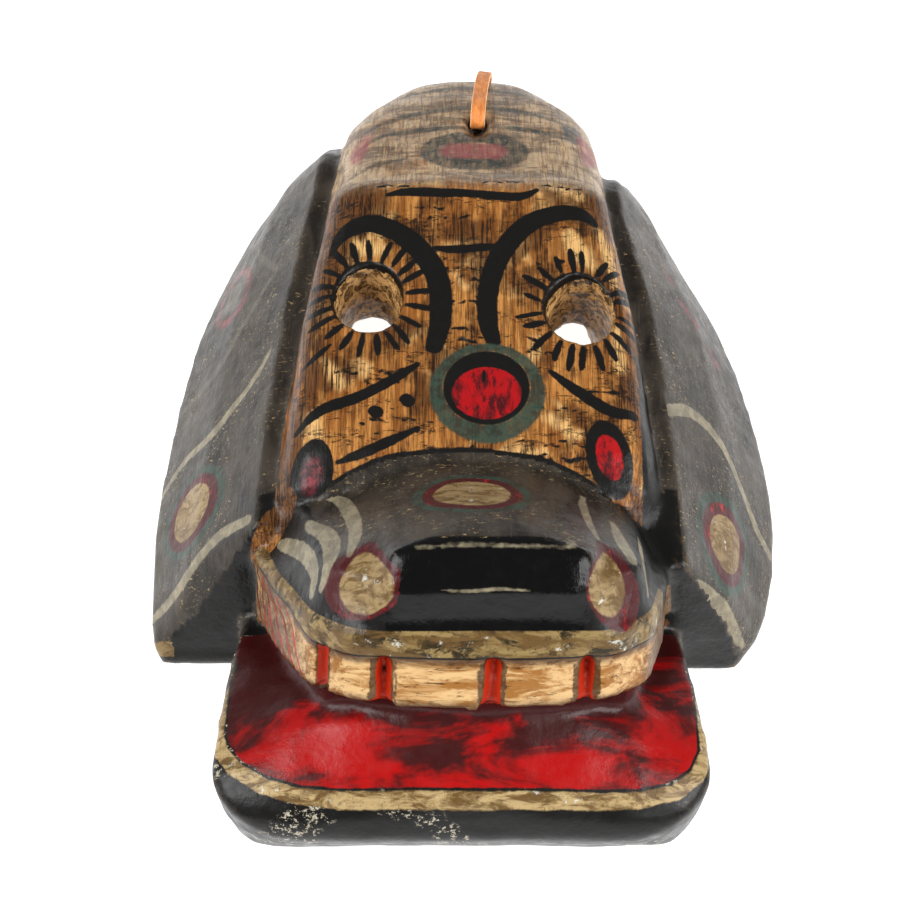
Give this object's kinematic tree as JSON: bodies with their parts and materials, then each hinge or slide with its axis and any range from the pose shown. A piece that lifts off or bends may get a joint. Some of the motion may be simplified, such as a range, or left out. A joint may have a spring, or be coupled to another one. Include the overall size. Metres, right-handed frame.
{
  "type": "folk art mask",
  "caption": "Carved and painted wooden dog mask with drooping ears, a raised snout with bared teeth, a thick lower lip, round eye holes and a leather hanging loop",
  "frame": {"origin": "on the table plane under the middle of the wooden mask's bounding box, lying on its flat back", "axes": "+X to the right of the face as seen from the front, +Y from the chin to the crown, +Z out of the face, away from the back rim"},
  "size_m": [0.2142, 0.3187, 0.1131],
  "materials": {
    "painted_wood": "hand painted in black, red, green and cream over bare ochre wood, worn and varnished",
    "leather_strap": "undyed tan strip, rough cut edges"
  },
  "bodies": {
    "root": {"carved_mask": "painted_wood", "leather_loop": "leather_strap"}
  },
  "joints": []
}
